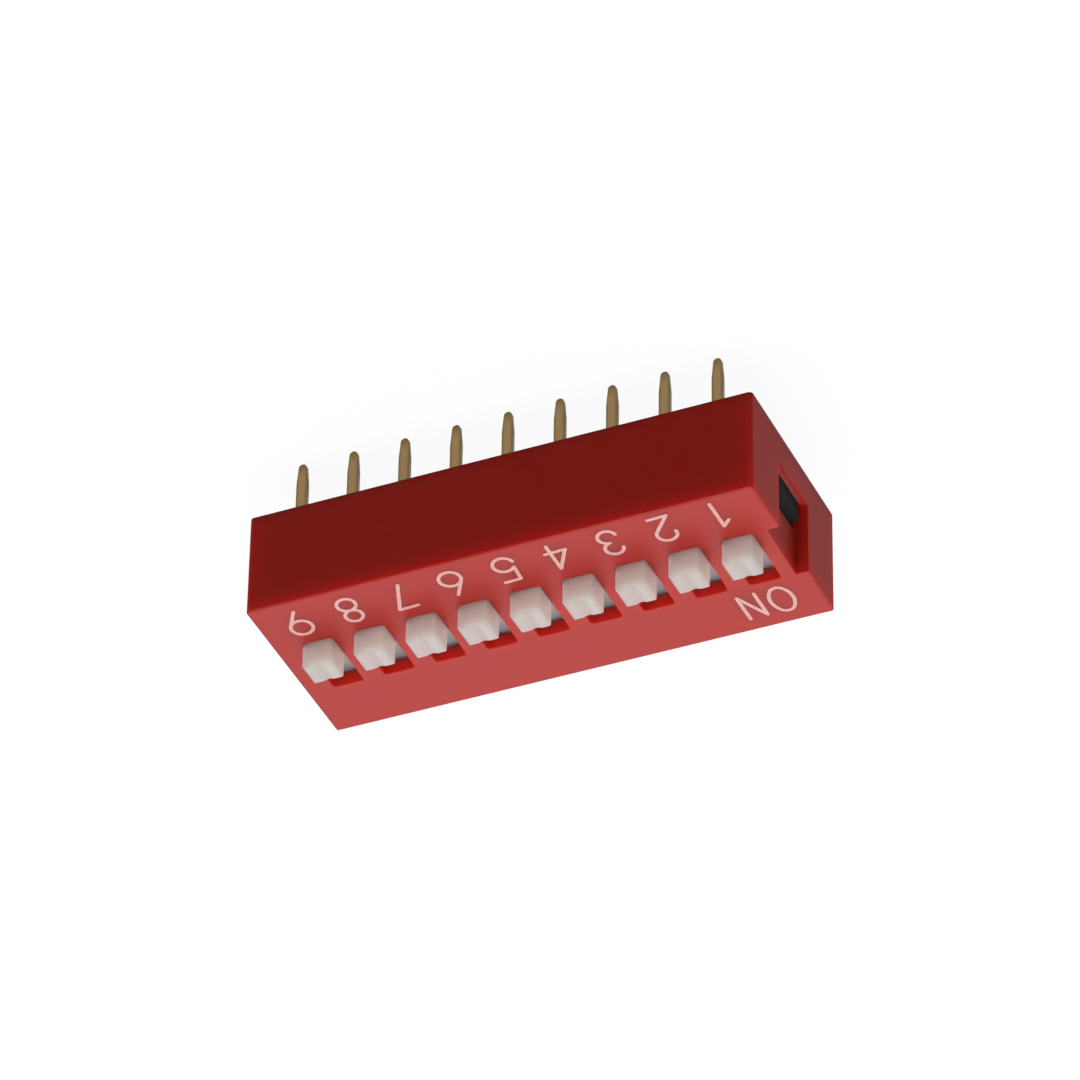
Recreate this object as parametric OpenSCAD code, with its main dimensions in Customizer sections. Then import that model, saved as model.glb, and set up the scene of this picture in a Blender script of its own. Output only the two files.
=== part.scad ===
// Nine-way slide DIP switch, through-hole, in millimetres.
// X runs along the row of sliders from position 1, Y runs across towards the ON side, Z points up.
// The origin is the middle of the seat that stands on the circuit board.

/* [Layout] */
// Number of switch positions
positions = 9; // [2:1:9]
// Distance between neighbouring positions and pins
pitch = 2.54; // [2.5:0.01:2.6]
// Distance between the two rows of pins
row_spacing = 7.62; // [7.6:0.01:7.65]

/* [Cover] */
// Length of the cover beyond the outermost pitch lines, both ends together
end_margin = 4.1; // [4.05:0.01:4.3]
// Width of the cover across the rows
cover_w = 9.85; // [9.6:0.05:9.9]
// Height of the cover above the board
cover_h = 5.3; // [5.2:0.05:5.6]
// Thickness of the long side walls
side_wall = 0.7; // [0.65:0.01:0.72]
// Thickness of the roof
roof = 0.7; // [0.6:0.05:0.75]
// Thickness of an end wall
end_wall = 0.95; // [0.93:0.01:0.97]
// Radius of the upright corners
corner_r = 0.2; // [0.1:0.01:0.4]
// Radius of the edges round the roof
edge_r = 0.1; // [0.05:0.01:0.2]
// Thickness of the walls between two positions
divider = 0.36; // [0.3:0.01:0.38]

/* [Slots] */
// Length of a slider's slot in the roof
slot_l = 3.5; // [3.4:0.01:3.6]
// Width of a slider's slot in the roof
slot_w = 1.52; // [1.44:0.01:1.54]

/* [End walls] */
// Width of the recess that marks the end next to position 1
recess_w = 3.5; // [3.2:0.01:3.8]
// Depth of the recess
recess_d = 0.6; // [0.55:0.01:0.62]
// Height above the board of the recess floor and of the sills of the latch windows
recess_floor = 1.6; // [1.5:0.01:1.7]
// Height of a latch window
window_h = 1.38; // [1.3:0.01:1.5]

/* [Slider] */
// Length of the knob along its travel
knob_l = 1.45; // [1.4:0.01:1.5]
// Height of the knob above the roof
knob_h = 1.3; // [1.1:0.01:1.4]
// Radius of the two ridges along the sides of the knob's top
ridge_r = 0.25; // [0.1:0.01:0.3]
// Radius of the two edges that end the knob's top
knob_end_r = 0.32; // [0.1:0.01:0.4]
// Depth of the finger groove between the ridges
groove_d = 0.21; // [0.05:0.01:0.22]
// Thickness of the plate that closes the slot from below
plate_t = 0.6; // [0.5:0.01:0.7]
// How far the plate reaches past the slot on each side
plate_lip = 0.28; // [0.25:0.01:0.3]

/* [Terminals] */
// Thickness of the terminal strip
strip_t = 0.25; // [0.2:0.01:0.3]
// Width of the strip inside the base
strip_w = 1.3; // [1.1:0.01:1.4]
// Width of a pin
pin_w = 0.54; // [0.5:0.01:0.6]
// Width of a pin where its tapered end turns round
pin_tip_w = 0.39; // [0.3:0.01:0.45]
// Length of a pin below the board seat
pin_l = 3.2; // [3:0.05:3.5]
// Length of the tapered end of a pin
pin_taper = 1.1; // [0.8:0.05:1.4]

/* [Moving contacts] */
// Thickness of the contact leaf
leaf_t = 0.12; // [0.1:0.01:0.14]
// Width of the contact leaf
leaf_w = 0.8; // [0.7:0.01:0.84]
// Height of the wave pressed into the leaf
leaf_wave = 1.06; // [0.95:0.01:1.06]

/* [Hidden] */
$fn = 32;

// Fits
slide_gap = 0.025;                            // knob to slot
roof_gap = 0.05;                              // slider plate to roof
shell_gap = 0.05;                             // base to cover
floor_gap = 0.02;                             // moving contact to terminals
leaf_gap = 0.02;                              // moving contact to its pocket, each side
seat_gap = 0.02;                              // terminal to its seat in the base, each side
sill_gap = 0.02;                              // latch to the sill of its window
latch_gap = 0.05;                             // latch to the top of its window
latch_side_gap = 0.12;                        // latch to each side of its window
cut = 1;                                      // how far a cutting solid runs past a face

// Cover
cover_l = (positions - 1) * pitch + end_margin;
cavity_l = cover_l - 2 * end_wall;
cavity_w = cover_w - 2 * side_wall;
cavity_h = cover_h - roof;
slot_corner_r = 0.17;
reveal = 0.2;                                 // recess past its window, each side
window_w = recess_w - 2 * reveal;

// Base
base_l = cavity_l - 2 * shell_gap;
base_w = cavity_w - 2 * shell_gap;
floor_h = 1.75;                               // top of the base floor, flush with the terminals
floor_corner_r = 0.2;
shoulder_h = 0.35;                            // where the wide strip rests on the base
latch_t = 0.3;
latch_w = window_w - 2 * latch_side_gap;
latch_top = recess_floor + window_h - latch_gap;
latch_bottom = recess_floor + sill_gap;
latch_ramp = 0.35;
latch_proud = 0.26;                           // how far the hook stands out into the recess

// Slider
knob_w = slot_w - 2 * slide_gap;
knob_upright_r = slot_corner_r - slide_gap;
travel = slot_l - knob_l - 2 * slide_gap;
off_y = -travel / 2;                          // middle of a knob in its OFF position
plate_spare = 0.12;                           // plate past the slot's end at the end of travel
plate_l = slot_l + travel + 2 * plate_spare;
plate_w = slot_w + 2 * plate_lip;
plate_top = cavity_h - roof_gap;
carrier_l = 3.1;
carrier_w = 1.36;
carrier_lift = 0.25;                          // carrier above the terminals
carrier_bottom = floor_h + carrier_lift;
pocket_l = 2.7;
pocket_w = leaf_w + 2 * leaf_gap;
groove_half = knob_w / 2 - ridge_r;           // middle of the knob to the top of a ridge
groove_steps = 16;

// Moving contact: a leaf pressed into a wave, with its two feet one travel apart
foot_y = travel / 2;
leaf_reach = 1.25 * foot_y;                   // each end of the leaf turns up past its foot
leaf_low = floor_h + floor_gap + leaf_t / 2;
leaf_steps = 30;
pocket_top = leaf_low + leaf_wave + leaf_t / 2;

// Terminals: the long pad carries a foot at both ends of the travel, the short pad only in ON
pin_y = row_spacing / 2;
bend_r = 0.3;                                 // outside radius of the bend
long_pad_end = 0.35;
short_pad_end = 1.05;
detent_r = 0.35;
detent_d = 0.05;

function position_x(n) = (n - (positions + 1) / 2) * pitch;

// Rectangle centred on the origin with round corners
module round_rect(l, w, r) {
    square([l - 2 * r, w], center = true);
    square([l, w - 2 * r], center = true);
    for (sx = [-1, 1], sy = [-1, 1])
        translate([sx * (l / 2 - r), sy * (w / 2 - r)])
            circle(r = r);
}

// Side view of a block that stands on z = 0, with its two top corners round
module round_top(l, h, r) {
    translate([-l / 2, 0])
        square([l, h - r]);
    translate([-l / 2 + r, 0])
        square([l - 2 * r, h]);
    for (s = [-1, 1])
        translate([s * (l / 2 - r), h - r])
            circle(r = r);
}

// Block that stands on z = 0, with round upright corners and round edges about its top:
// side_r for the two top edges along Y, end_r for the two along X
module soft_block(l, w, h, upright_r, side_r, end_r) {
    intersection() {
        linear_extrude(h)
            round_rect(l, w, upright_r);
        rotate([90, 0, 0])
            linear_extrude(w + 2 * cut, center = true)
                round_top(l, h, side_r);
        rotate([90, 0, 90])
            linear_extrude(l + 2 * cut, center = true)
                round_top(w, h, end_r);
    }
}

// Box centred on X and Y that runs from one height to another
module box(l, w, z0, z1) {
    translate([-l / 2, -w / 2, z0])
        cube([l, w, z1 - z0]);
}

// Moulded cover: a shell open at the bottom, with dividers, slots, a latch window at each end,
// and a recess that is open at the roof at the position 1 end
module cover() {
    color("firebrick")
        difference() {
            soft_block(cover_l, cover_w, cover_h, corner_r, edge_r, edge_r);
            difference() {
                box(cavity_l, cavity_w, -cut, cavity_h);
                for (n = [1:positions - 1])
                    translate([position_x(n + 0.5), 0, 0])
                        box(divider, cavity_w + 2 * cut, floor_h + floor_gap, cover_h);
            }
            for (n = [1:positions])
                translate([position_x(n), 0, cavity_h - cut / 2])
                    linear_extrude(roof + cut)
                        round_rect(slot_w, slot_l, slot_corner_r);
            translate([-cover_l / 2, 0, 0])
                box(2 * recess_d, recess_w, recess_floor, cover_h + cut);
            for (s = [-1, 1])
                translate([s * (cover_l / 2 - end_wall / 2), 0, 0])
                    box(end_wall + cut, window_w, recess_floor, recess_floor + window_h);
        }
}

// Side view of a latch at the +X end: a tongue that rises from the floor, with a ramped hook
module latch_profile() {
    hook_x = cover_l / 2 - recess_d + latch_proud;
    polygon([
        [base_l / 2 - latch_t, 0],
        [base_l / 2, 0],
        [base_l / 2, latch_bottom],
        [hook_x, latch_bottom],
        [hook_x, latch_top - latch_ramp],
        [base_l / 2 + shell_gap, latch_top],
        [base_l / 2 - latch_t, latch_top]
    ]);
}

// Room for one terminal in the base, on the +Y side, for a pad that starts at pad_end
module terminal_seat(pad_end) {
    seat_w = strip_w + 2 * seat_gap;
    leg_y = pin_y - strip_t / 2;
    inner_r = bend_r - strip_t;
    translate([-seat_w / 2, pad_end, floor_h - strip_t])
        cube([seat_w, base_w, cut]);
    translate([-seat_w / 2, leg_y - inner_r, floor_h - strip_t - inner_r])
        cube([seat_w, base_w, inner_r + cut]);
    translate([-seat_w / 2, leg_y, shoulder_h])
        cube([seat_w, base_w, floor_h]);
    translate([-pin_w / 2 - seat_gap, leg_y, -cut])
        cube([pin_w + 2 * seat_gap, base_w, cut + floor_h]);
}

// Moulded base: floor with seats for the terminals, and a latch at each end
module base() {
    color("#1e2222") {
        difference() {
            linear_extrude(floor_h)
                round_rect(base_l, base_w, floor_corner_r);
            for (n = [1:positions])
                translate([position_x(n), 0, 0]) {
                    terminal_seat(short_pad_end);
                    mirror([0, 1, 0])
                        terminal_seat(-long_pad_end);
                }
        }
        for (s = [0, 1])
            mirror([s, 0, 0])
                rotate([90, 0, 0])
                    linear_extrude(latch_w, center = true)
                        latch_profile();
    }
}

// Side view of a terminal on the +Y side: pad, bend and leg of one strip
module strip_profile(pad_end) {
    outer_y = pin_y + strip_t / 2;
    translate([pad_end, floor_h - strip_t])
        square([outer_y - bend_r - pad_end, strip_t]);
    translate([pin_y - strip_t / 2, -pin_l])
        square([strip_t, pin_l + floor_h - bend_r]);
    translate([outer_y - bend_r, floor_h - bend_r])
        intersection() {
            difference() {
                circle(r = bend_r);
                circle(r = bend_r - strip_t);
            }
            square(bend_r);
        }
}

// Front view of a terminal: wide strip, then a pin with a tapered and rounded end
module strip_front() {
    tip_r = pin_tip_w / 2;
    translate([-strip_w / 2, shoulder_h])
        square([strip_w, floor_h]);
    polygon([
        [-pin_w / 2, shoulder_h],
        [-pin_w / 2, -pin_l + pin_taper],
        [-tip_r, -pin_l + tip_r],
        [tip_r, -pin_l + tip_r],
        [pin_w / 2, -pin_l + pin_taper],
        [pin_w / 2, shoulder_h]
    ]);
    translate([0, -pin_l + tip_r])
        circle(r = tip_r);
}

// One terminal on the +Y side, bent from a strip, with a groove where each foot comes to rest
module terminal(pad_end, rests) {
    color("#a88a58")
        difference() {
            intersection() {
                rotate([90, 0, 90])
                    linear_extrude(strip_w, center = true)
                        strip_profile(pad_end);
                rotate([90, 0, 0])
                    linear_extrude(cover_w + cut, center = true)
                        strip_front();
            }
            for (y = rests)
                translate([0, y, floor_h - detent_d + detent_r])
                    rotate([0, 90, 0])
                        cylinder(r = detent_r, h = strip_w + cut, center = true);
        }
}

// Terminal on the ON side: a foot reaches its pad only in the ON position
module terminal_on_side(n) {
    translate([position_x(n), 0, 0])
        terminal(short_pad_end, [travel]);
}

// Terminal on the number side: one foot or the other is always on its pad
module terminal_number_side(n) {
    translate([position_x(n), 0, 0])
        mirror([0, 1, 0])
            terminal(-long_pad_end, [0, travel]);
}

// End view of what the finger groove takes away: a wave that runs level into both ridges
module groove_profile() {
    wave = [
        for (i = [0:groove_steps])
            let (share = 2 * i / groove_steps - 1)
                [groove_half * share, -groove_d * (1 + cos(180 * share)) / 2]
    ];
    polygon(concat(wave, [[groove_half, cut], [-groove_half, cut]]));
}

// Slider in its OFF position: knob, plate under the roof, and a carrier with a pocket for the leaf
module slider(n) {
    knob_foot = plate_top - plate_t;
    color("#cfc6bf")
        translate([position_x(n), off_y, 0]) {
            difference() {
                translate([0, 0, knob_foot])
                    soft_block(knob_w, knob_l, cover_h + knob_h - knob_foot,
                               knob_upright_r, ridge_r, knob_end_r);
                translate([0, 0, cover_h + knob_h])
                    rotate([90, 0, 0])
                        linear_extrude(knob_l + cut, center = true)
                            groove_profile();
            }
            translate([0, 0, knob_foot])
                linear_extrude(plate_t)
                    round_rect(plate_w, plate_l, floor_corner_r);
            difference() {
                box(carrier_w, carrier_l, carrier_bottom, knob_foot);
                box(pocket_w, pocket_l, carrier_bottom - cut, pocket_top);
            }
        }
}

// Height of the middle of the leaf, and its slope, at y from the middle of the slider
function leaf_z(y) = leaf_low + leaf_wave * (1 + cos(180 * y / foot_y)) / 2;
function leaf_slope(y) = atan(-leaf_wave * PI / (2 * foot_y) * sin(180 * y / foot_y));
function leaf_point(y, side) = [
    y - side * leaf_t / 2 * sin(leaf_slope(y)),
    leaf_z(y) + side * leaf_t / 2 * cos(leaf_slope(y))
];

// Moving contact in its OFF position: a leaf that arches against the slider on two feet
module contact(n) {
    steps = [for (i = [0:leaf_steps]) -leaf_reach + 2 * leaf_reach * i / leaf_steps];
    upper = [for (y = steps) leaf_point(y, 1)];
    lower = [for (i = [leaf_steps:-1:0]) leaf_point(steps[i], -1)];
    color("goldenrod")
        translate([position_x(n), off_y, 0])
            rotate([90, 0, 90])
                linear_extrude(leaf_w, center = true)
                    polygon(concat(upper, lower));
}

cover();
base();
for (n = [1:positions]) {
    slider(n);
    contact(n);
    terminal_number_side(n);
    terminal_on_side(n);
}
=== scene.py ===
"""Looks of a nine-way slide switch for circuit boards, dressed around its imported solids.

A red moulded cover carries nine white slide actuators and a printed legend, with a recess at
the end next to position 1. A black base snaps into a window at each end and holds two rows of
plated strip terminals. Each sub-assembly is a class that builds its own pieces and gives them
their finishes. Lengths are in metres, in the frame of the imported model, apart from the strokes
of the legend, which are drawn in millimetres.
"""

from __future__ import annotations

import logging
import math
from collections.abc import Iterable, Mapping, Sequence
from dataclasses import dataclass, field
from enum import Enum
from typing import Any

import bmesh
import bpy
from mathutils import Matrix, Vector

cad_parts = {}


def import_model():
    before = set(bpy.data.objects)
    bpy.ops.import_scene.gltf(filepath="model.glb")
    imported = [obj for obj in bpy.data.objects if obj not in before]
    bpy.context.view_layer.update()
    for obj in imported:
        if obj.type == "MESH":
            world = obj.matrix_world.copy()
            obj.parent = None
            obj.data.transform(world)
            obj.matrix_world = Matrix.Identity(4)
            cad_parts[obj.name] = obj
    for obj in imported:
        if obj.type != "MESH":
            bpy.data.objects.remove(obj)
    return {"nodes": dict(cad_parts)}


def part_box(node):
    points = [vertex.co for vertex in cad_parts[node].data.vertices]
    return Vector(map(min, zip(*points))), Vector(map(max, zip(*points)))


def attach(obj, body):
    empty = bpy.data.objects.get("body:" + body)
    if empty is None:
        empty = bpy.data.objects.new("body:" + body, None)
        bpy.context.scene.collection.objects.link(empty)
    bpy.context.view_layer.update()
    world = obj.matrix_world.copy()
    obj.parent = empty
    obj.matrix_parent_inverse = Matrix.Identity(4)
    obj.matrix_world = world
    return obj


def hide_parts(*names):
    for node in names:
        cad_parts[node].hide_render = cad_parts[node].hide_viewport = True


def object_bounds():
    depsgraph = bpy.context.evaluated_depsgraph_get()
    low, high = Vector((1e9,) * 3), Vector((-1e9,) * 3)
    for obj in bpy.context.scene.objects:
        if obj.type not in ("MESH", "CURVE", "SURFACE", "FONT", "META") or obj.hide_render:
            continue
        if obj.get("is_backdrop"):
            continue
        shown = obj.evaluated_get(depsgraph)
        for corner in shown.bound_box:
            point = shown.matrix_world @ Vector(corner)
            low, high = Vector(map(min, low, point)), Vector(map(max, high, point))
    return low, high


LOG = logging.getLogger("slide_switch")
MM = 0.001
FULL_TURN = 360.0
HALF_TURN = 180.0
WHITE = (1.0, 1.0, 1.0, 1.0)
UP = (0.0, 0.0, 1.0)

Colour = tuple[float, float, float]
Point = tuple[float, float]
Socket = bpy.types.NodeSocket
Number = float | Socket
Tint = Colour | Socket


class Slot(Enum):
    """Names of material slots for the cover, the base, the sliders and the terminals; nothing in
    the script uses them.
    """

    COVER = "cover_plastic"
    BASE = "base_plastic"
    SLIDER = "slider_plastic"
    TERMINAL = "terminal_metal"


# ---------------------------------------------------------------------------- node trees


class Sheet:
    """Lays nodes into one node tree and wires them by name."""

    def __init__(self, tree: bpy.types.NodeTree) -> None:
        """Starts on an empty tree.

        Args:
            tree: The tree of a material, a world or a group.
        """
        self.tree = tree
        tree.nodes.clear()

    def add(
        self, kind: str, inputs: Mapping[str | int, Any] | None = None, **settings: Any
    ) -> bpy.types.Node:
        """Adds a node.

        Args:
            kind: The node's type without the ShaderNode prefix.
            inputs: Plain values or output sockets, by the input's name or number.
            settings: The node's own properties.

        Returns:
            The new node.
        """
        prefix = "" if kind.startswith("Node") else "ShaderNode"
        node = self.tree.nodes.new(prefix + kind)
        for name, value in settings.items():
            setattr(node, name, value)
        for name, value in (inputs or {}).items():
            self._feed(node.inputs[name], value)
        return node

    def _feed(self, socket: Socket, value: Any) -> None:
        """Gives an input what it works on.

        Args:
            socket: The input.
            value: The output socket to link to it, or its plain value.
        """
        if isinstance(value, Socket):
            self.tree.links.new(value, socket)
        else:
            socket.default_value = value

    def place(self) -> Socket:
        """Gives the place of a point in the model, in metres."""
        return self.add("TexCoord").outputs["Object"]

    def facing(self) -> Socket:
        """Gives the way that the surface faces."""
        return self.add("NewGeometry").outputs["Normal"]

    def part(self, vector: Socket, axis: str) -> Socket:
        """Takes one axis out of a vector.

        Args:
            vector: The vector.
            axis: X, Y or Z.

        Returns:
            The vector's part along the axis.
        """
        return self.add("SeparateXYZ", {"Vector": vector}).outputs[axis]

    def math(self, operation: str, *values: Number) -> Socket:
        """Adds a Math node.

        Args:
            operation: The node's operation.
            values: Numbers or output sockets, in the order of its inputs.

        Returns:
            The node's result.
        """
        return self.add("Math", dict(enumerate(values)), operation=operation).outputs[0]

    def ramp(
        self, value: Socket, start: float, end: float, low: float = 0.0, high: float = 1.0
    ) -> Socket:
        """Turns a span of one value into a span of another, and holds it beyond both ends.

        Args:
            value: What to map.
            start: Where the ramp starts.
            end: Where it ends.
            low: The result up to the start.
            high: The result from the end on.

        Returns:
            The mapped value.
        """
        spans = {"From Min": start, "From Max": end, "To Min": low, "To Max": high}
        return self.add("MapRange", {"Value": value, **spans}).outputs["Result"]

    def blend(self, share: Number, first: Tint, second: Tint) -> Socket:
        """Mixes two colours.

        Args:
            share: How much of the second colour.
            first: The first colour.
            second: The second colour.

        Returns:
            The mixed colour.
        """
        node = self.add("Mix", {"Factor": share}, data_type="RGBA")
        colour_inputs = [s for s in node.inputs if s.type == "RGBA"]
        for socket, colour in zip(colour_inputs, (first, second)):
            self._feed(socket, (*colour, 1.0) if isinstance(colour, tuple) else colour)
        return next(s for s in node.outputs if s.type == "RGBA")

    def roughness(self, share: Socket, middle: float, swing: float) -> Socket:
        """Lets the roughness swing around its middle.

        Args:
            share: From 0 to 1, the pattern that it follows.
            middle: The roughness halfway.
            swing: The roughest less the smoothest.

        Returns:
            The roughness.
        """
        return self.math("MULTIPLY_ADD", share, swing, middle - swing / 2)


def blank_material(name: str) -> tuple[bpy.types.Material, Sheet]:
    """Makes a material without any nodes.

    Args:
        name: The material's name.

    Returns:
        The material, and the sheet that lays its nodes.
    """
    material = bpy.data.materials.new(name)
    material.use_nodes = True
    return material, Sheet(material.node_tree)


def blank_group(name: str, inputs: Sequence[str], outputs: Sequence[str]) -> Sheet:
    """Makes a node group whose sockets are all numbers.

    Args:
        name: The group's name.
        inputs: The names of its inputs.
        outputs: The names of its outputs.

    Returns:
        The sheet that lays its nodes.
    """
    tree = bpy.data.node_groups.new(name, "ShaderNodeTree")
    for names, way in ((inputs, "INPUT"), (outputs, "OUTPUT")):
        for socket in names:
            tree.interface.new_socket(socket, in_out=way, socket_type="NodeSocketFloat")
    return Sheet(tree)


def grain_group() -> bpy.types.NodeTree:
    """Builds the fine matt grain that a spark-eroded mould leaves on plastic.

    Returns:
        A group with inputs Size (metres) and outputs Height and Cloud, both from 0 to 1.
    """
    grains_in_cloud = 30.0
    pit_noise = {"Detail": 3.0, "Roughness": 0.6}
    cloud_noise = {"Detail": 4.0, "Roughness": 0.55}
    sheet = blank_group("mould_grain", ["Size"], ["Height", "Cloud"])
    given = sheet.add("NodeGroupInput")
    place = sheet.place()
    fine = sheet.math("DIVIDE", 1.0, given.outputs["Size"])
    coarse = sheet.math("DIVIDE", fine, grains_in_cloud)
    pits = sheet.add("TexNoise", {"Vector": place, "Scale": fine, **pit_noise})
    cloud = sheet.add("TexNoise", {"Vector": place, "Scale": coarse, **cloud_noise})
    sheet.add("NodeGroupOutput", {"Height": pits.outputs["Fac"], "Cloud": cloud.outputs["Fac"]})
    return sheet.tree


def strip_group() -> bpy.types.NodeTree:
    """Builds the fine lines that rolling leaves along a metal strip.

    Returns:
        A group with inputs Width and Length of a line (metres) and an output Line from 0 to 1.
    """
    line_noise = {"Scale": 1.0, "Detail": 3.0}
    sheet = blank_group("rolled_lines", ["Width", "Length"], ["Line"])
    given = sheet.add("NodeGroupInput")
    across = sheet.math("DIVIDE", 1.0, given.outputs["Width"])
    along = sheet.math("DIVIDE", 1.0, given.outputs["Length"])
    stretch = sheet.add("CombineXYZ", {"X": across, "Y": across, "Z": along}).outputs[0]
    drawn = sheet.add("VectorMath", {0: sheet.place(), 1: stretch}, operation="MULTIPLY")
    lines = sheet.add("TexNoise", {"Vector": drawn.outputs[0], **line_noise})
    sheet.add("NodeGroupOutput", {"Line": lines.outputs["Fac"]})
    return sheet.tree


@dataclass
class Effects:
    """The effects that several finishes share."""

    grain: bpy.types.NodeTree = field(default_factory=grain_group)
    strip: bpy.types.NodeTree = field(default_factory=strip_group)


# ------------------------------------------------------------------------------ finishes


@dataclass(frozen=True)
class Moulding:
    """A moulded plastic, coloured all through, with the grain of its mould.

    Its gloss goes from wall_gloss, on what faces sideways, to gloss on what faces up.
    """

    name: str
    colour: Colour
    cloud_colour: Colour
    roughness: float
    gloss: float
    wall_gloss: float
    grain_size: float
    grain_depth: float
    grain_strength: float = 0.6
    glow: float = 0.0
    glow_depth: float = 0.0
    glow_spread: Colour = (1.0, 1.0, 1.0)
    roughness_swing: float = 0.08
    wall_below: float = 0.3
    roof_above: float = 0.8

    def _tint(self, sheet: Sheet, cloud: Socket) -> Socket:
        """Mixes the plastic's own colours."""
        return sheet.blend(cloud, self.colour, self.cloud_colour)

    def material(self, effects: Effects) -> bpy.types.Material:
        """Builds the plastic's material.

        Args:
            effects: The shared node groups.

        Returns:
            The material.
        """
        material, sheet = blank_material(self.name)
        grain = sheet.add("Group", node_tree=effects.grain)
        grain.inputs["Size"].default_value = self.grain_size
        cloud = grain.outputs["Cloud"]
        bump = sheet.add("Bump", {
            "Height": grain.outputs["Height"],
            "Strength": self.grain_strength,
            "Distance": self.grain_depth,
        })
        upward = sheet.part(sheet.facing(), "Z")
        gloss = sheet.ramp(
            upward, self.wall_below, self.roof_above, low=self.wall_gloss, high=self.gloss
        )
        shader = sheet.add("BsdfPrincipled", {
            "Base Color": self._tint(sheet, cloud),
            "Roughness": sheet.roughness(cloud, self.roughness, self.roughness_swing),
            "Normal": bump.outputs["Normal"],
            "Specular IOR Level": gloss,
            "Subsurface Weight": self.glow,
            "Subsurface Radius": self.glow_spread,
            "Subsurface Scale": self.glow_depth,
        })
        sheet.add("OutputMaterial", {"Surface": shader.outputs[0]})
        return material


@dataclass(frozen=True, kw_only=True)
class BounceLitMoulding(Moulding):
    """A plastic painted pinker on its low part, below one level and fading out by another: painted
    red bounce light from the cover.
    """

    bounce_colour: Colour
    bounce_below: float
    bounce_fades_above: float

    def _tint(self, sheet: Sheet, cloud: Socket) -> Socket:
        """Blends the pink colour in towards the low end, as painted red bounce light.

        Args:
            sheet: The material's sheet.
            cloud: The grain's cloud, from 0 to 1.

        Returns:
            The plastic's colour.
        """
        darker_tone = super()._tint(sheet, cloud)
        level = sheet.part(sheet.place(), "Z")
        # painted red bounce light: full on the slider's low part, fading out upwards
        bounce_share = sheet.ramp(level, self.bounce_below, self.bounce_fades_above, low=1.0, high=0.0)
        return sheet.blend(bounce_share, darker_tone, self.bounce_colour)


@dataclass(frozen=True)
class PlatedStrip:
    """A metal strip, plated before it was cut, so its cut edges show a duller metal."""

    name: str
    plating: Colour
    cut_edge: Colour
    roughness: float
    line_width: float
    line_length: float
    line_depth: float
    line_strength: float = 0.5
    line_shade: float = 0.86
    roughness_swing: float = 0.15
    face_below: float = 0.6
    cut_above: float = 0.95

    def _face(self, sheet: Sheet, line: Socket) -> Socket:
        """Mixes the plating's own tones along its rolled lines."""
        return sheet.blend(line, self.plating, tuple(self.line_shade * c for c in self.plating))

    def material(self, effects: Effects) -> bpy.types.Material:
        """Builds the metal's material.

        Args:
            effects: The shared node groups.

        Returns:
            The material.
        """
        material, sheet = blank_material(self.name)
        strip = sheet.add("Group", node_tree=effects.strip)
        strip.inputs["Width"].default_value = self.line_width
        strip.inputs["Length"].default_value = self.line_length
        line = strip.outputs["Line"]
        bump = sheet.add("Bump", {
            "Height": line,
            "Strength": self.line_strength,
            "Distance": self.line_depth,
        })
        sideways = sheet.math("ABSOLUTE", sheet.part(sheet.facing(), "X"))
        cut = sheet.ramp(sideways, self.face_below, self.cut_above)
        shader = sheet.add("BsdfPrincipled", {
            "Base Color": sheet.blend(cut, self._face(sheet, line), self.cut_edge),
            "Roughness": sheet.roughness(line, self.roughness, self.roughness_swing),
            "Normal": bump.outputs["Normal"],
            "Metallic": 1.0,
        })
        sheet.add("OutputMaterial", {"Surface": shader.outputs[0]})
        return material


@dataclass(frozen=True, kw_only=True)
class PinStrip(PlatedStrip):
    """A strip cut into pins at one pitch, painted darker along the sides and at the tip of each, as
    painted shade.
    """

    # the colour of the painted shade on each pin's sides and tip
    darker_tone: Colour
    pitch: float
    side_from: float
    side_to: float
    tip_from: float
    tip_to: float
    tip_share: float = 0.85

    def _face(self, sheet: Sheet, line: Socket) -> Socket:
        """Blends the darker tone in towards the sides and the tip of a pin, as painted shade.

        Args:
            sheet: The material's sheet.
            line: The rolled lines, from 0 to 1.

        Returns:
            The plating's colour.
        """
        bright = super()._face(sheet, line)
        place = sheet.place()
        # painted shade: darker towards each pin's sides and towards its tip
        off_middle = sheet.math("PINGPONG", sheet.part(place, "X"), self.pitch / 2)
        side = sheet.ramp(off_middle, self.side_from, self.side_to)
        tip = sheet.ramp(sheet.part(place, "Z"), self.tip_from, self.tip_to, high=self.tip_share)
        return sheet.blend(sheet.math("MAXIMUM", side, tip), bright, self.darker_tone)


@dataclass(frozen=True)
class PrintInk:
    """A pad-printed ink, thin enough in places to let the plastic tint it."""

    name: str
    colour: Colour
    thin_colour: Colour
    roughness: float
    blotch_size: float
    gloss: float = 0.25
    thin_from: float = 0.35
    thin_to: float = 0.75

    def material(self, effects: Effects) -> bpy.types.Material:
        """Builds the ink's material.

        Args:
            effects: The shared node groups.

        Returns:
            The material.
        """
        material, sheet = blank_material(self.name)
        grain = sheet.add("Group", node_tree=effects.grain)
        grain.inputs["Size"].default_value = self.blotch_size
        thin = sheet.ramp(grain.outputs["Height"], self.thin_from, self.thin_to)
        shader = sheet.add("BsdfPrincipled", {
            "Base Color": sheet.blend(thin, self.colour, self.thin_colour),
            "Roughness": self.roughness,
            "Specular IOR Level": self.gloss,
        })
        sheet.add("OutputMaterial", {"Surface": shader.outputs[0]})
        return material


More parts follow.
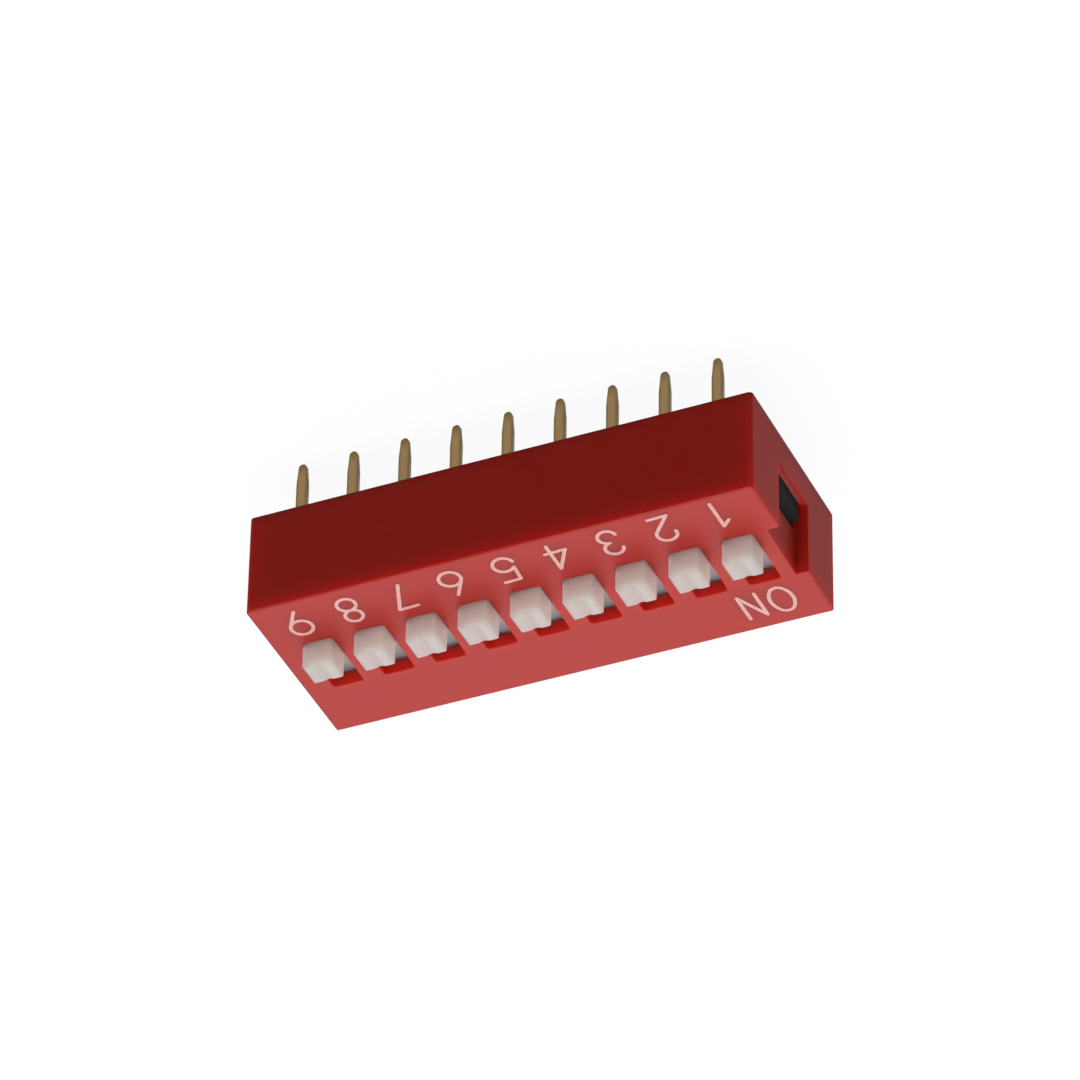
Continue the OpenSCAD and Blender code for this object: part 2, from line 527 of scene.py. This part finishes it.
RED_PLASTIC = Moulding(
    name="cover_red_plastic",
    colour=(0.50, 0.024, 0.017),
    cloud_colour=(0.52, 0.028, 0.020),
    roughness=0.48,
    gloss=0.29,
    wall_gloss=0.048,
    grain_size=0.05 * MM,
    grain_depth=0.002 * MM,
    glow=1.0,
    glow_depth=2.0 * MM,
    glow_spread=(1.0, 0.03, 0.02),
)
WHITE_PLASTIC = BounceLitMoulding(
    name="slider_white_plastic",
    colour=(0.66, 0.62, 0.54),
    cloud_colour=(0.69, 0.65, 0.57),
    roughness=0.5,
    gloss=0.03,
    wall_gloss=0.08,
    grain_size=0.05 * MM,
    grain_depth=0.002 * MM,
    glow=1.0,
    glow_depth=6.0 * MM,
    glow_spread=(1.0, 0.85, 0.78),
    # painted red bounce light on the sliders' low part, fading out upwards
    bounce_colour=(0.97, 0.76, 0.67),
    bounce_below=5.25 * MM,
    bounce_fades_above=6.0 * MM,
)
BLACK_PLASTIC = Moulding(
    name="base_black_plastic",
    colour=(0.010, 0.013, 0.013),
    cloud_colour=(0.013, 0.017, 0.017),
    roughness=0.6,
    gloss=0.1,
    wall_gloss=0.03,
    grain_size=0.06 * MM,
    grain_depth=0.003 * MM,
)
TERMINAL_STRIP = PinStrip(
    name="terminal_plated_strip",
    plating=(0.31, 0.20, 0.088),
    cut_edge=(0.11, 0.075, 0.032),
    roughness=0.36,
    line_width=0.03 * MM,
    line_length=1.2 * MM,
    line_depth=0.001 * MM,
    # painted shade on the pins' sides and tips
    darker_tone=(0.13, 0.092, 0.036),
    pitch=2.54 * MM,
    side_from=0.12 * MM,
    side_to=0.29 * MM,
    tip_from=-2.5 * MM,
    tip_to=-3.2 * MM,
)
CONTACT_STRIP = PlatedStrip(
    name="contact_spring_strip",
    plating=(0.62, 0.42, 0.16),
    cut_edge=(0.45, 0.22, 0.12),
    roughness=0.28,
    line_width=0.02 * MM,
    line_length=1.0 * MM,
    line_depth=0.0006 * MM,
)
WHITE_INK = PrintInk(
    name="legend_white_ink",
    colour=(0.92, 0.60, 0.565),
    thin_colour=(0.80, 0.27, 0.24),
    roughness=0.5,
    blotch_size=0.08 * MM,
)


# ------------------------------------------------------------------- pieces of the scene


def linked_object(name: str, data: bpy.types.ID) -> bpy.types.Object:
    """Makes an object and links it to the scene.

    Args:
        name: The object's name.
        data: Its mesh, lamp or camera.

    Returns:
        The object, at the origin.
    """
    made = bpy.data.objects.new(name, data)
    bpy.context.scene.collection.objects.link(made)
    return made


def mesh_object(mesh: bmesh.types.BMesh, name: str) -> bpy.types.Object:
    """Makes an object of a mesh that is ready, and frees the working mesh.

    Args:
        mesh: The working mesh.
        name: The name of the object and of its mesh.

    Returns:
        The object, linked to the scene.
    """
    data = bpy.data.meshes.new(name)
    mesh.to_mesh(data)
    mesh.free()
    return linked_object(name, data)


def only_vertices(geometry: Iterable[Any]) -> list[bmesh.types.BMVert]:
    """Picks the vertices out of what an operator made."""
    return [item for item in geometry if isinstance(item, bmesh.types.BMVert)]


def numbered(names: Iterable[str], stem: str) -> list[str]:
    """Picks the numbered names of one kind, in order.

    Args:
        names: All the names.
        stem: What stands before the number.

    Returns:
        The names that are the stem and a number.
    """
    found = [n for n in names if n.startswith(stem) and n[len(stem):].isdigit()]
    return sorted(found, key=lambda n: int(n[len(stem):]))


def finish_piece(
    piece: bpy.types.Object, material: bpy.types.Material, body: str
) -> None:
    """Gives a new piece its material and the body that it rides on.

    Args:
        piece: The piece, in place.
        material: Its finish.
        body: The body's name.
    """
    piece.data.materials.clear()
    piece.data.materials.append(material)
    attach(piece, body)
    LOG.info("piece %s: %d faces, on %s", piece.name, len(piece.data.polygons), body)


def repaint(node: bpy.types.Object, material: bpy.types.Material) -> None:
    """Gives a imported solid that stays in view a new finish.

    Args:
        node: The solid's object.
        material: The finish.
    """
    for slot in node.material_slots:
        slot.material = material
    LOG.info("node %s: %s", node.name, material.name)


@dataclass(frozen=True)
class SoftEdges:
    """Rounds the sharp outer edges of a piece a little, as a mould or a press leaves them."""

    radius: float
    segments: int = 3
    round_profile: float = 0.5
    sharper_than: float = math.radians(50.0)
    flat_within: float = math.radians(0.3)
    smooth_within: float = math.radians(40.0)
    large_face_weight: int = 100
    weld: float = 0.0001 * MM

    def soften(self, mesh: bmesh.types.BMesh) -> None:
        """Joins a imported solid's loose triangles and bevels its sharp convex edges.

        Args:
            mesh: The copy of the solid's mesh.
        """
        bmesh.ops.remove_doubles(mesh, verts=mesh.verts, dist=self.weld)
        bmesh.ops.dissolve_limit(
            mesh, angle_limit=self.flat_within, verts=mesh.verts, edges=mesh.edges
        )
        sharp = [
            edge
            for edge in mesh.edges
            if edge.is_manifold and edge.calc_face_angle_signed() > self.sharper_than
        ]
        bmesh.ops.bevel(
            mesh,
            geom=sharp,
            offset=self.radius,
            offset_type="OFFSET",
            segments=self.segments,
            profile=self.round_profile,
            affect="EDGES",
            clamp_overlap=False,
            material=-1,
        )

    def piece(self, source: bpy.types.Object, name: str) -> bpy.types.Object:
        """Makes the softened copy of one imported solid.

        Args:
            source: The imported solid's object.
            name: The new piece's name.

        Returns:
            The new piece, linked to the scene.
        """
        mesh = bmesh.new()
        mesh.from_mesh(source.data)
        self.soften(mesh)
        for face in mesh.faces:
            face.smooth = True
        piece = mesh_object(mesh, name)
        piece.data.set_sharp_from_angle(angle=self.smooth_within)
        even = piece.modifiers.new("even_shading", "WEIGHTED_NORMAL")
        even.weight = self.large_face_weight
        even.keep_sharp = True
        return piece


# -------------------------------------------------------------------------- the legend


@dataclass(frozen=True)
class Line:
    """A straight stroke."""

    start: Point
    end: Point


@dataclass(frozen=True)
class Arc:
    """A stroke along part of a circle, from an angle in degrees and over a sweep."""

    centre: Point
    radius: float
    start: float
    sweep: float

    def at(self, share: float) -> Point:
        """Gives a point of the arc.

        Args:
            share: How far along the arc, from 0 at its start to 1 at its end.

        Returns:
            The point.
        """
        angle = math.radians(self.start + share * self.sweep)
        across, up = self.centre
        return across + self.radius * math.cos(angle), up + self.radius * math.sin(angle)


Stroke = Line | Arc


@dataclass(frozen=True)
class Lettering:
    """Plain engraver's lettering: every sign is a few strokes of one width with round ends.

    Sizes are in millimetres and angles in degrees. A figure stands on y = 0 with its middle
    at x = 0, and the word ON has the middle of its first letter there.
    """

    height: float = 1.70
    half: float = 0.48

    def one(self) -> list[Stroke]:
        """Draws a stem with a short flag.

        Returns:
            The stem and the flag.
        """
        flag = 0.35
        top = (0.0, self.height)
        return [Line((0.0, 0.0), top), Line(top, (-flag, self.height - flag))]

    def two(self) -> list[Stroke]:
        """Draws a round head, a slanting neck and a flat foot.

        Returns:
            The head, the neck and the foot.
        """
        radius, foot_end = self.half - 0.02, self.half - 0.06
        head = Arc((0.0, self.height - radius), radius, start=190.0, sweep=-228.0)
        corner = (-self.half, 0.0)
        return [head, Line(head.at(1.0), corner), Line(corner, (foot_end, 0.0))]

    def three(self) -> list[Stroke]:
        """Draws two bows, the lower one larger.

        Returns:
            The upper bow and the lower one.
        """
        upper = 0.42
        lower = self.height / 2 - upper
        return [
            Arc((0.0, self.height - upper), upper, start=172.0, sweep=-257.0),
            Arc((0.0, lower), lower, start=85.0, sweep=-258.0),
        ]

    def four(self) -> list[Stroke]:
        """Draws a stem right of the middle, a slanting side and a bar.

        Returns:
            The stem, the side and the bar.
        """
        stem, bar, bar_start = 0.22, 0.50, -self.half - 0.02
        top, corner = (stem, self.height), (bar_start, bar)
        return [Line((stem, 0.0), top), Line(top, corner), Line(corner, (self.half, bar))]

    def five(self) -> list[Stroke]:
        """Draws a flat top, a short side and a bow.

        Returns:
            The top, the side and the bow.
        """
        radius, middle = self.half + 0.01, -0.05
        top_start, top_end = -0.38, self.half - 0.10
        bow = Arc((middle, radius), radius, start=142.0, sweep=-312.0)
        corner = (top_start, self.height)
        return [Line((top_end, self.height), corner), Line(corner, bow.at(0.0)), bow]

    def six(self) -> list[Stroke]:
        """Draws a ring with a straight stroke that leaves it at the left.

        Returns:
            The ring and the straight stroke.
        """
        radius, middle, stem_top = self.half + 0.03, 0.02, 0.14
        ring = Arc((middle, radius), radius, start=155.0, sweep=FULL_TURN)
        return [ring, Line(ring.at(0.0), (stem_top, self.height))]

    def seven(self) -> list[Stroke]:
        """Draws a flat top and a slanting stem.

        Returns:
            The top and the stem.
        """
        top_start, foot = -self.half + 0.05, -0.20
        corner = (self.half, self.height)
        return [Line((top_start, self.height), corner), Line(corner, (foot, 0.0))]

    def eight(self) -> list[Stroke]:
        """Draws two rings, the lower one larger.

        Returns:
            The upper ring and the lower one.
        """
        upper = 0.41
        lower = self.height / 2 - upper
        rings = ((self.height - upper, upper), (lower, lower))
        return [Arc((0.0, middle), radius, 0.0, FULL_TURN) for middle, radius in rings]

    def nine(self) -> list[Stroke]:
        """Draws the six, turned half round.

        Returns:
            The ring and the straight stroke.
        """
        ring, stem = self.six()
        centre = (0.0, self.height - ring.radius)
        turned = Arc(centre, ring.radius, ring.start + HALF_TURN, FULL_TURN)
        return [turned, Line(turned.at(0.0), (-stem.end[0], 0.0))]

    def figures(self) -> list[list[Stroke]]:
        """Gives the figures from 1 to 9, in order."""
        return [
            self.one(), self.two(), self.three(), self.four(), self.five(),
            self.six(), self.seven(), self.eight(), self.nine(),
        ]

    def oval(self, half_wide: float, middle: float, end: float) -> list[Stroke]:
        """Draws a tall oval of four arcs that run into each other.

        Args:
            half_wide: Half of its width.
            middle: Half of its height.
            end: The radius of its top and its bottom.

        Returns:
            The right side, the top, the left side and the bottom.
        """
        rise = middle - end
        side = (half_wide**2 + rise**2 - end**2) / (2 * (half_wide - end))
        reach = side - half_wide
        meet = math.degrees(math.atan2(rise, reach))
        return [
            Arc((-reach, middle), side, -meet, 2 * meet),
            Arc((0.0, middle + rise), end, meet, HALF_TURN - 2 * meet),
            Arc((reach, middle), side, HALF_TURN - meet, 2 * meet),
            Arc((0.0, middle - rise), end, HALF_TURN + meet, HALF_TURN - 2 * meet),
        ]

    def on(self) -> list[Stroke]:
        """Draws the word ON: an oval, then two stems a little lower and what joins them.

        Returns:
            The oval, then the first stem, the diagonal and the second stem.
        """
        half_wide, middle, end = self.half + 0.06, self.height / 2 + 0.03, 0.38
        left, right, top = 1.01, 1.85, self.height - 0.04
        return [
            *self.oval(half_wide, middle, end),
            Line((left, 0.0), (left, top)),
            Line((left, top), (right, 0.0)),
            Line((right, 0.0), (right, top)),
        ]


@dataclass(frozen=True)
class Pen:
    """Lays strokes down as thin flat bodies of ink, all fused into one.

    Its sizes are in millimetres, as the lettering's are. The round end of a stroke has a
    corner every facet, in degrees, and a curved stroke has one every half facet.
    """

    width: float = 0.17
    depth: float = 0.012
    sunk: float = 0.004
    facet: float = 11.25
    fewest_steps: int = 2

    def _dot(self, mesh: bmesh.types.BMesh, at: Point) -> None:
        """Adds the round end of a stroke.

        Args:
            mesh: The working mesh.
            at: The end.
        """
        bmesh.ops.create_circle(
            mesh,
            cap_ends=True,
            segments=round(FULL_TURN / self.facet),
            radius=self.width / 2,
            matrix=Matrix.Translation((*at, 0.0)),
        )

    def _edge(self, mesh: bmesh.types.BMesh, middle: Vector, across: Vector) -> bmesh.types.BMEdge:
        """Adds the edge, as long as the stroke is wide, that sweeps a stroke out.

        Args:
            mesh: The working mesh.
            middle: The edge's middle.
            across: The way that the edge runs.

        Returns:
            The edge.
        """
        side = across.normalized() * self.width / 2
        return mesh.edges.new([mesh.verts.new(middle + side), mesh.verts.new(middle - side)])

    def _line(self, mesh: bmesh.types.BMesh, line: Line) -> None:
        """Adds a straight stroke.

        Args:
            mesh: The working mesh.
            line: The stroke.
        """
        start = Vector((*line.start, 0.0))
        along = Vector((*line.end, 0.0)) - start
        edge = self._edge(mesh, start, Vector((-along.y, along.x, 0.0)))
        grown = bmesh.ops.extrude_edge_only(mesh, edges=[edge])["geom"]
        bmesh.ops.translate(mesh, verts=only_vertices(grown), vec=along)
        self._dot(mesh, line.start)
        self._dot(mesh, line.end)

    def _arc(self, mesh: bmesh.types.BMesh, arc: Arc) -> None:
        """Adds a stroke along a circle.

        Args:
            mesh: The working mesh.
            arc: The stroke.
        """
        centre = Vector((*arc.centre, 0.0))
        begin = Vector((*arc.at(0.0), 0.0))
        edge = self._edge(mesh, begin, begin - centre)
        full = abs(arc.sweep) >= FULL_TURN
        bmesh.ops.spin(
            mesh,
            geom=[edge, *edge.verts],
            cent=centre,
            axis=UP,
            angle=math.radians(arc.sweep),
            steps=max(self.fewest_steps, round(abs(arc.sweep) / (self.facet / 2))),
            use_merge=full,
        )
        if not full:
            self._dot(mesh, arc.at(0.0))
            self._dot(mesh, arc.at(1.0))

    def _solid(self, strokes: Sequence[Stroke], name: str) -> bpy.types.Object:
        """Makes closed bodies, which may overlap, of some strokes.

        Args:
            strokes: The strokes.
            name: The name of the object that holds them.

        Returns:
            The object, linked to the scene.
        """
        mesh = bmesh.new()
        for stroke in strokes:
            if isinstance(stroke, Line):
                self._line(mesh, stroke)
            else:
                self._arc(mesh, stroke)
        bmesh.ops.translate(mesh, verts=mesh.verts, vec=(0.0, 0.0, -self.sunk))
        bmesh.ops.recalc_face_normals(mesh, faces=mesh.faces)
        for face in mesh.faces:
            if face.normal.z > 0.0:
                face.normal_flip()
        region = bmesh.ops.extrude_face_region(mesh, geom=mesh.faces, use_keep_orig=True)
        rise = (0.0, 0.0, self.depth + self.sunk)
        bmesh.ops.translate(mesh, verts=only_vertices(region["geom"]), vec=rise)
        bmesh.ops.recalc_face_normals(mesh, faces=mesh.faces)
        return mesh_object(mesh, name)

    def _fuse(self, sign: bpy.types.Object, other: bpy.types.Object) -> None:
        """Fuses a sign's bodies with each other and with another object, which goes.

        Args:
            sign: The object that keeps the fused body.
            other: The object that is used up.
        """
        fuse = sign.modifiers.new("fuse", "BOOLEAN")
        fuse.operation = "UNION"
        fuse.solver = "EXACT"
        fuse.use_self = True
        fuse.object = other
        bpy.context.view_layer.update()
        shape = sign.evaluated_get(bpy.context.evaluated_depsgraph_get())
        fused = bpy.data.meshes.new_from_object(shape)
        sign.modifiers.clear()
        sign.data = fused
        bpy.data.objects.remove(other)

    def write(self, strokes: Sequence[Stroke], place: Matrix, name: str) -> bpy.types.Object:
        """Writes one sign and fuses its strokes.

        Fusing takes two objects, so the first stroke starts as an object of its own.

        Args:
            strokes: The sign's strokes, in millimetres.
            place: Where the sign goes, from its own millimetres to the model's metres.
            name: The new piece's name.

        Returns:
            The sign, as one closed body.
        """
        first, others = strokes[:1], strokes[1:]
        sign = self._solid(others or first, name)
        if others:
            self._fuse(sign, self._solid(first, name + "_first"))
        sign.data.transform(place)
        return sign


@dataclass
class Legend:
    """The printed legend: a figure at each position, and ON on the far side.

    All of the print is turned a little, and each sign's own level lines climb a little more.
    """

    lettering: Lettering = Lettering()
    pen: Pen = Pen()
    ink: PrintInk = WHITE_INK
    turn: float = math.radians(0.8)
    climb: float = math.tan(math.radians(1.7))
    shift: float = 0.11 * MM
    figures_foot: float = 0.62 * MM
    on_foot: float = 2.46 * MM
    on_inset: float = 1.01 * MM

    def _place(self, at: Vector) -> Matrix:
        """Turns and slants a sign that stands at a point of the roof.

        Args:
            at: The sign's foot.

        Returns:
            The transform from the sign's millimetres to the model's metres.
        """
        size = Matrix.Diagonal((MM, MM, MM, 1.0))
        climb = Matrix.Identity(4)
        climb[1][0] = self.climb
        return Matrix.Rotation(self.turn, 4, "Z") @ Matrix.Translation(at) @ size @ climb

    def build(self, effects: Effects, sliders: Sequence[str]) -> None:
        """Prints the legend on the roof.

        Args:
            effects: The shared node groups.
            sliders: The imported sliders, in order.
        """
        ink = self.ink.material(effects)
        low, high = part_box("cover")
        foot = low.y + self.figures_foot
        middles = [(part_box(name)[0].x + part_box(name)[1].x) / 2 for name in sliders]
        pitch = middles[1] - middles[0]
        for number, (middle, strokes) in enumerate(zip(middles, self.lettering.figures()), start=1):
            place = self._place(Vector((middle + self.shift, foot, high.z)))
            figure = self.pen.write(strokes, place, f"legend_{number}")
            finish_piece(figure, ink, "housing")
        start = middles[0] - pitch / 2 + self.on_inset + self.shift
        place = self._place(Vector((start, self.on_foot, high.z)))
        word = self.pen.write(self.lettering.on(), place, "legend_on")
        finish_piece(word, ink, "housing")


# ---------------------------------------------------------------------- sub-assemblies


@dataclass
class Housing:
    """The red cover and the black base that closes it from below."""

    cover_edges: SoftEdges = SoftEdges(radius=0.035 * MM)
    base_edges: SoftEdges = SoftEdges(radius=0.02 * MM)
    cover_finish: Moulding = RED_PLASTIC
    base_finish: Moulding = BLACK_PLASTIC

    def build(self, effects: Effects, nodes: Mapping[str, bpy.types.Object]) -> None:
        """Makes both mouldings.

        Args:
            effects: The shared node groups.
            nodes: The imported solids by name.
        """
        cover = self.cover_edges.piece(nodes["cover"], "cover_moulding")
        finish_piece(cover, self.cover_finish.material(effects), "housing")
        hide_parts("cover")
        base = self.base_edges.piece(nodes["base"], "base_moulding")
        finish_piece(base, self.base_finish.material(effects), "housing")
        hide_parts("base")


@dataclass
class Actuators:
    """The white sliders, each with the spring contact that it carries."""

    edges: SoftEdges = SoftEdges(radius=0.03 * MM)
    slider_finish: Moulding = WHITE_PLASTIC
    contact_finish: PlatedStrip = CONTACT_STRIP

    def build(self, effects: Effects, nodes: Mapping[str, bpy.types.Object]) -> None:
        """Makes the sliders and finishes their contacts.

        Args:
            effects: The shared node groups.
            nodes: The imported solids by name.
        """
        white = self.slider_finish.material(effects)
        sprung = self.contact_finish.material(effects)
        for number, name in enumerate(numbered(nodes, "slider_"), start=1):
            slider = self.edges.piece(nodes[name], f"slider_moulding_{number}")
            finish_piece(slider, white, f"actuator_{number}")
            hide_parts(name)
        for name in numbered(nodes, "contact_"):
            repaint(nodes[name], sprung)


@dataclass
class Terminals:
    """The two rows of solder pins, stamped from strip."""

    edges: SoftEdges = SoftEdges(radius=0.02 * MM, segments=2)
    finish: PlatedStrip = TERMINAL_STRIP
    rows: tuple[str, ...] = ("terminal_number_side_", "terminal_on_side_")

    def build(self, effects: Effects, nodes: Mapping[str, bpy.types.Object]) -> None:
        """Makes the pins of both rows.

        Args:
            effects: The shared node groups.
            nodes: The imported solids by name.
        """
        plated = self.finish.material(effects)
        for row in self.rows:
            for name in numbered(nodes, row):
                pin = self.edges.piece(nodes[name], name.replace("terminal", "pin"))
                finish_piece(pin, plated, "housing")
                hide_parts(name)


# ------------------------------------------------------------------------------ studio


def direction(azimuth: float, elevation: float) -> Vector:
    """Gives the unit vector towards a bearing.

    Args:
        azimuth: Degrees from -Y towards +X.
        elevation: Degrees above the horizon.

    Returns:
        The vector.
    """
    a, e = math.radians(azimuth), math.radians(elevation)
    return Vector((math.sin(a) * math.cos(e), -math.cos(a) * math.cos(e), math.sin(e)))


@dataclass(frozen=True)
class Softbox:
    """A large soft white lamp that faces the switch, with its bearing in degrees."""

    name: str
    azimuth: float
    elevation: float
    distance: float
    size: float
    power: float

    def place(self, target: Vector) -> None:
        """Hangs the lamp.

        Args:
            target: The point that it faces.
        """
        lamp = bpy.data.lights.new(self.name, "AREA")
        lamp.shape = "SQUARE"
        lamp.size = self.size
        lamp.energy = self.power
        away = direction(self.azimuth, self.elevation)
        holder = linked_object(self.name, lamp)
        holder.location = target + away * self.distance
        holder.rotation_euler = away.to_track_quat("Z", "Y").to_euler()


@dataclass(frozen=True)
class Viewpoint:
    """The camera: a long lens from above and a little to the left, held upside down.

    Its angles are in degrees, and its lens and sensor in millimetres.
    """

    target: tuple[float, float, float] = (-0.259 * MM, -0.685 * MM, 1.831 * MM)
    azimuth: float = -23.937
    elevation: float = 37.082
    roll: float = -179.03
    distance: float = 311.93 * MM
    lens: float = 231.91
    sensor_width: float = 36.0
    nearest: float = 0.01

    def place(self) -> None:
        """Makes the camera and gives it to the scene."""
        data = bpy.data.cameras.new("camera")
        data.lens = self.lens
        data.sensor_width = self.sensor_width
        data.clip_start = self.nearest
        away = direction(self.azimuth, self.elevation)
        at = Matrix.Translation(Vector(self.target) + away * self.distance)
        turn = away.to_track_quat("Z", "Y").to_matrix().to_4x4()
        roll = Matrix.Rotation(math.radians(self.roll), 4, "Z")
        camera = linked_object("camera", data)
        camera.matrix_world = at @ (turn @ roll)
        bpy.context.scene.camera = camera


@dataclass
class Studio:
    """A white floor, soft lamps and an even surround."""

    viewpoint: Viewpoint = Viewpoint()
    softboxes: tuple[Softbox, ...] = (
        Softbox("back_softbox", azimuth=156.0, elevation=38.0, distance=1.2, size=0.55, power=1.1),
        Softbox("top_softbox", azimuth=9.0, elevation=74.0, distance=1.0, size=0.7, power=5.0),
        Softbox("end_softbox", azimuth=228.0, elevation=25.0, distance=1.2, size=0.4, power=2.0),
    )
    floor_size: float = 6.0
    floor_cells: int = 4
    floor_grey: float = 0.08
    floor_white: float = 0.94
    floor_roughness: float = 0.9
    surround: float = 0.40

    def _seen_mask(self, sheet: Sheet) -> Socket:
        """Marks the rays that see the background: from the camera, from gloss, through glass.

        Args:
            sheet: The sheet of the floor's material or of the world.

        Returns:
            One for such a ray, and zero for any other.
        """
        rays = sheet.add("LightPath").outputs
        seen = sheet.math("MAXIMUM", rays["Is Camera Ray"], rays["Is Glossy Ray"])
        return sheet.math("MAXIMUM", seen, rays["Is Transmission Ray"])

    def _floor_material(self) -> bpy.types.Material:
        """Builds the floor's material: white where it is seen, dark where it lights the switch.

        Returns:
            The material.
        """
        material, sheet = blank_material("floor_white")
        strength = sheet.math("MULTIPLY", self._seen_mask(sheet), self.floor_white)
        shader = sheet.add("BsdfPrincipled", {
            "Base Color": (self.floor_grey, self.floor_grey, self.floor_grey, 1.0),
            "Roughness": self.floor_roughness,
            "Specular IOR Level": 0.0,
            "Emission Color": WHITE,
            "Emission Strength": strength,
        })
        sheet.add("OutputMaterial", {"Surface": shader.outputs[0]})
        return material

    def _floor(self, height: float) -> None:
        """Lays the floor.

        Args:
            height: Its level.
        """
        mesh = bmesh.new()
        cells, half = self.floor_cells, self.floor_size / 2
        bmesh.ops.create_grid(mesh, x_segments=cells, y_segments=cells, size=half)
        bmesh.ops.translate(mesh, verts=mesh.verts, vec=(0.0, 0.0, height))
        floor = mesh_object(mesh, "floor")
        floor.data.materials.append(self._floor_material())
        floor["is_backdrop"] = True

    def _surround(self) -> None:
        """Fills the world: white where it is seen, softer where it lights the switch."""
        world = bpy.data.worlds.new("surround")
        bpy.context.scene.world = world
        world.use_nodes = True
        sheet = Sheet(world.node_tree)
        seen = self._seen_mask(sheet)
        strength = sheet.math("MULTIPLY_ADD", seen, 1.0 - self.surround, self.surround)
        shader = sheet.add("Background", {"Color": WHITE, "Strength": strength})
        sheet.add("OutputWorld", {"Surface": shader.outputs[0]})

    def build(self, low: Vector, high: Vector) -> None:
        """Sets the studio up around the switch.

        Args:
            low: The switch's lowest corner.
            high: Its highest corner.
        """
        self._surround()
        self._floor(low.z)
        for softbox in self.softboxes:
            softbox.place((low + high) / 2)
        self.viewpoint.place()
        bpy.context.scene.view_settings.view_transform = "Standard"


def main() -> None:
    """Builds the switch, its studio and the camera."""
    logging.basicConfig(level=logging.INFO, format="%(message)s")
    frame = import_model()
    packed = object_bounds()
    nodes = frame["nodes"]
    effects = Effects()
    Studio().build(*packed)
    Housing().build(effects, nodes)
    Legend().build(effects, numbered(nodes, "slider_"))
    Actuators().build(effects, nodes)
    Terminals().build(effects, nodes)


if __name__ == "__main__":
    main()
